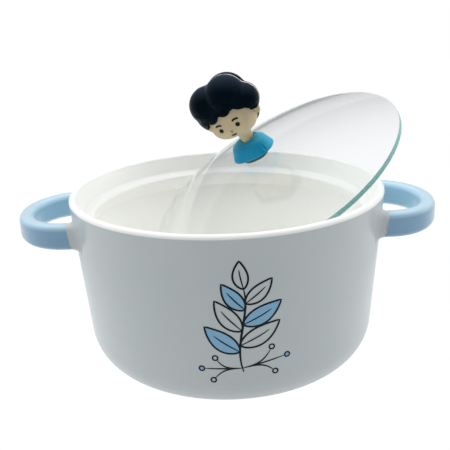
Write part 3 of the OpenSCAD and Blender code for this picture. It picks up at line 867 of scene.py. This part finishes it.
# round ends of the fringe's locks: x, height above the chin, radius
locks = [(-0.56, 0.61, 0.15), (-0.25, 0.75, 0.16), (-0.06, 0.88, 0.17), (0.1, 0.83, 0.172),
         (0.27, 0.9, 0.168), (0.543, 0.868, 0.25), (0.68, 0.66, 0.14)]


def curled(curls, shrink=0.0):
    """The curls run together with the cap that they stand on, as one closed skin with soft valleys."""
    cap_line = (arc((cap_hd - cap_low_r, cap_low + cap_low_r), cap_low_r, -right, 0, 12)
                + arc((cap_hd - cap_r, cap_top - cap_r), cap_r, 0, right, 14))
    shape = lofted([oval(r + cap_hw - cap_hd - shrink, r - shrink, z, power=face_power) for r, z in cap_line])
    for x, y, z, r in curls:
        ball = bmesh.ops.create_icosphere(shape, subdivisions=5, radius=r * face_h - shrink)["verts"]
        bmesh.ops.translate(shape, verts=ball, vec=(x * face_h, y * face_h, chin_z + z * face_h))
    return melted("curls", shape, curl_voxel, 45)


def sliced(shape, *planes):
    """The shape without what lies beyond each plane, given as a point and a direction, closed again."""
    for spot, away in planes:
        cut = bmesh.ops.bisect_plane(shape, geom=shape.verts[:] + shape.edges[:] + shape.faces[:],
                                     plane_co=spot, plane_no=away, clear_outer=True)
        bmesh.ops.holes_fill(shape, edges=[e for e in cut["geom_cut"] if isinstance(e, bmesh.types.BMEdge)])
    return shape


def fringe_edge(x):
    """Height of the fringe's edge at a place across the face, both as shares of the head's height."""
    low = math.inf
    for lock_x, lock_z, lock_r in locks:
        if abs(x - lock_x) < lock_r:
            low = min(low, lock_z - math.sqrt(lock_r ** 2 - (x - lock_x) ** 2))
    line = [(-1, locks[0][1])] + [lock[:2] for lock in locks] + [(1, locks[-1][1])]
    for (x0, z0), (x1, z1) in zip(line, line[1:]):
        if x0 <= x <= x1:
            low = min(low, z0 + (z1 - z0) * (x - x0) / (x1 - x0))
    return low


comb = bmesh.new()
teeth = [(i / 100, fringe_edge(i / 100)) for i in range(-100, 101)]
edge_spots = [(x * face_h, fringe_y, chin_z + z * face_h) for x, z in teeth]
outline = [comb.verts.new(p) for p in edge_spots + [(face_h, fringe_y, 0), (-face_h, fringe_y, 0)]]
pulled = bmesh.ops.extrude_face_region(comb, geom=[comb.faces.new(outline)])["geom"]
pulled = [v for v in pulled if isinstance(v, bmesh.types.BMVert)]
bmesh.ops.translate(comb, verts=pulled, vec=(0, -2 * face_h, 0))
bmesh.ops.recalc_face_normals(comb, faces=comb.faces)
cutter = made("comb", comb)
below_sides = ((0, 0, side_hair_z), (0, 0, -1))
whole = made("front_curls", sliced(curled(front_curls), ((0, part_y, 0), (0, 1, 0)), below_sides))
combed = whole.modifiers.new("combed", "BOOLEAN")
combed.operation, combed.object, combed.solver = "DIFFERENCE", cutter, "EXACT"
front_shape = taken(whole)
bpy.data.objects.remove(cutter)
front_shape = melted("front_hair", front_shape, skin_voxel, 3)
back_shape = sliced(curled(back_curls), ((0, part_y + part_t, 0), (0, -1, 0)), ((0, 0, chin_z), (0, 0, -1)))
back_shape = melted("back_hair", back_shape, skin_voxel, 3)
plate_shape = sliced(curled(front_curls, part_inset), ((0, part_y, 0), (0, -1, 0)),
                     ((0, part_y + part_t, 0), (0, 1, 0)), below_sides)
# the hair's upper faces turn to a lighter navy: painted highlight
hair_black = plastic_of("hair_black", (0.0002, 0.0016, 0.0036), (0.0004, 0.0026, 0.006), 0.27, peel=0.35,
                        lit_top=(0.012, 0.020, 0.032), Specular_IOR_Level=0.07, Specular_Tint=(0.3, 0.65, 1, 1),
                        Sheen_Weight=0.06, Sheen_Roughness=0.3, Sheen_Tint=(0.12, 0.5, 1, 1))
cream = plastic_of("seam_cream", (0.82, 0.80, 0.72), (0.76, 0.74, 0.66), 0.5)
fixed("hair_shell_front", front_shape, "hair_front", "hair_plastic", hair_black)
fixed("hair_shell_back", back_shape, "hair_back", "hair_plastic", hair_black)
fixed("hair_seam_plate", plate_shape, "hair_core", "cream_plastic", cream)


# Table, light and camera: a pale table under three soft lights in a dim room, seen from the
# photograph's viewpoint. To the camera, bare or through the glass, the table is plain white.
camera_back = 391.76 * mm
camera_up = 203.07 * mm
camera_pitch = 0.3218
camera_pan = -0.0037
camera_roll = -0.0409
table_near, table_far = 0.54, 0.31
table_near_r, table_far_r = 70 * mm, 200 * mm
ahead = Vector((math.sin(camera_pan) * math.cos(camera_pitch), math.cos(camera_pan) * math.cos(camera_pitch),
                -math.sin(camera_pitch)))
level = Vector((math.cos(camera_pan), -math.sin(camera_pan), 0))
upward = level.cross(ahead)
across = level * math.cos(camera_roll) + upward * math.sin(camera_roll)
above = upward * math.cos(camera_roll) - level * math.sin(camera_roll)
eye = bpy.data.objects.new("camera", bpy.data.cameras.new("camera"))
bpy.context.collection.objects.link(eye)
eye.data.lens = 60
eye.data.sensor_width = 36
eye.matrix_world = Matrix((
    (across.x, above.x, -ahead.x, 0), (across.y, above.y, -ahead.y, -camera_back),
    (across.z, above.z, -ahead.z, camera_up), (0, 0, 0, 1)))
bpy.context.scene.camera = eye

table_shape = bmesh.new()
bmesh.ops.create_grid(table_shape, x_segments=1, y_segments=1, size=20)
table_top = finish_of("table_top", Roughness=0.7, Specular_IOR_Level=0.0, Emission_Color=(0.99, 0.99, 1, 1))
paper = table_top.node_tree
seen = node(paper, "ShaderNodeLightPath")
bounced = maths(paper, "SUBTRACT", seen.outputs["Ray Depth"], seen.outputs["Transmission Depth"])
# one for what the camera sees, bare or through the glass, and nothing for what is lit or mirrors it
plain = maths(paper, "LESS_THAN", bounced, 0.5)
held_back = mixed(paper, plain, (0.34, 0.36, 0.365, 1), (0, 0, 0, 1))
reach = node(paper, "ShaderNodeVectorMath", (0, node(paper, "ShaderNodeTexCoord").outputs["Object"]),
             operation="LENGTH")
lit_table = ramp(paper, reach.outputs["Value"], table_near_r, table_far_r, table_near, table_far)
glow = node(paper, "ShaderNodeMix", (0, plain), (2, lit_table), (3, 1.02))
paper.links.new(held_back, paper.nodes["Principled BSDF"].inputs["Base Color"])
paper.links.new(glow.outputs[0], paper.nodes["Principled BSDF"].inputs["Emission Strength"])
table = made("table", table_shape, table_top)


def soft_light(name, strength, spread, turn):
    """A distant soft light, as wide as its spread in degrees."""
    lamp = bpy.data.lights.new(name, "SUN")
    lamp.energy = strength
    lamp.angle = math.radians(spread)
    lit = bpy.data.objects.new(name, lamp)
    lit.rotation_euler = [math.radians(a) for a in turn]
    lit.visible_glossy = lit.visible_transmission = False
    bpy.context.collection.objects.link(lit)


soft_light("overhead", 2.9, 84, (-5, -7, 0))
soft_light("side_left", 1.05, 60, (80, 0, 250))
soft_light("side_right", 1.6, 60, (80, 0, 110))
world = bpy.data.worlds.new("room")
bpy.context.scene.world = world
world.use_nodes = True
room = world.node_tree
# only gloss mirrors the pale canopy and horizon; the rest is lit by a room that is dim in front
way = node(room, "ShaderNodeSeparateXYZ", (0, node(room, "ShaderNodeTexCoord").outputs["Generated"]))
canopy = ramp(room, way.outputs["Z"], 0.56, 0.84, 0.42, 0.72)
horizon = ramp(room, way.outputs["Z"], 0.38, 0.46, 0.75, 0.0)
dim_front = ramp(room, way.outputs["Y"], -0.85, 0.0, 0.08, 0.48)
dim_back = ramp(room, way.outputs["Y"], 0.5, 0.9, 1.0, 0.62)
shaded = maths(room, "MULTIPLY", maths(room, "MAXIMUM", canopy, horizon), dim_back)
mirrored = node(room, "ShaderNodeLightPath").outputs["Is Glossy Ray"]
lit_by = node(room, "ShaderNodeMix", (0, mirrored), (2, dim_front), (3, shaded))
room.nodes["Background"].inputs["Color"].default_value = (0.96, 0.985, 1.0, 1)
room.links.new(lit_by.outputs[0], room.nodes["Background"].inputs["Strength"])
bpy.context.scene.view_settings.view_transform = "Standard"
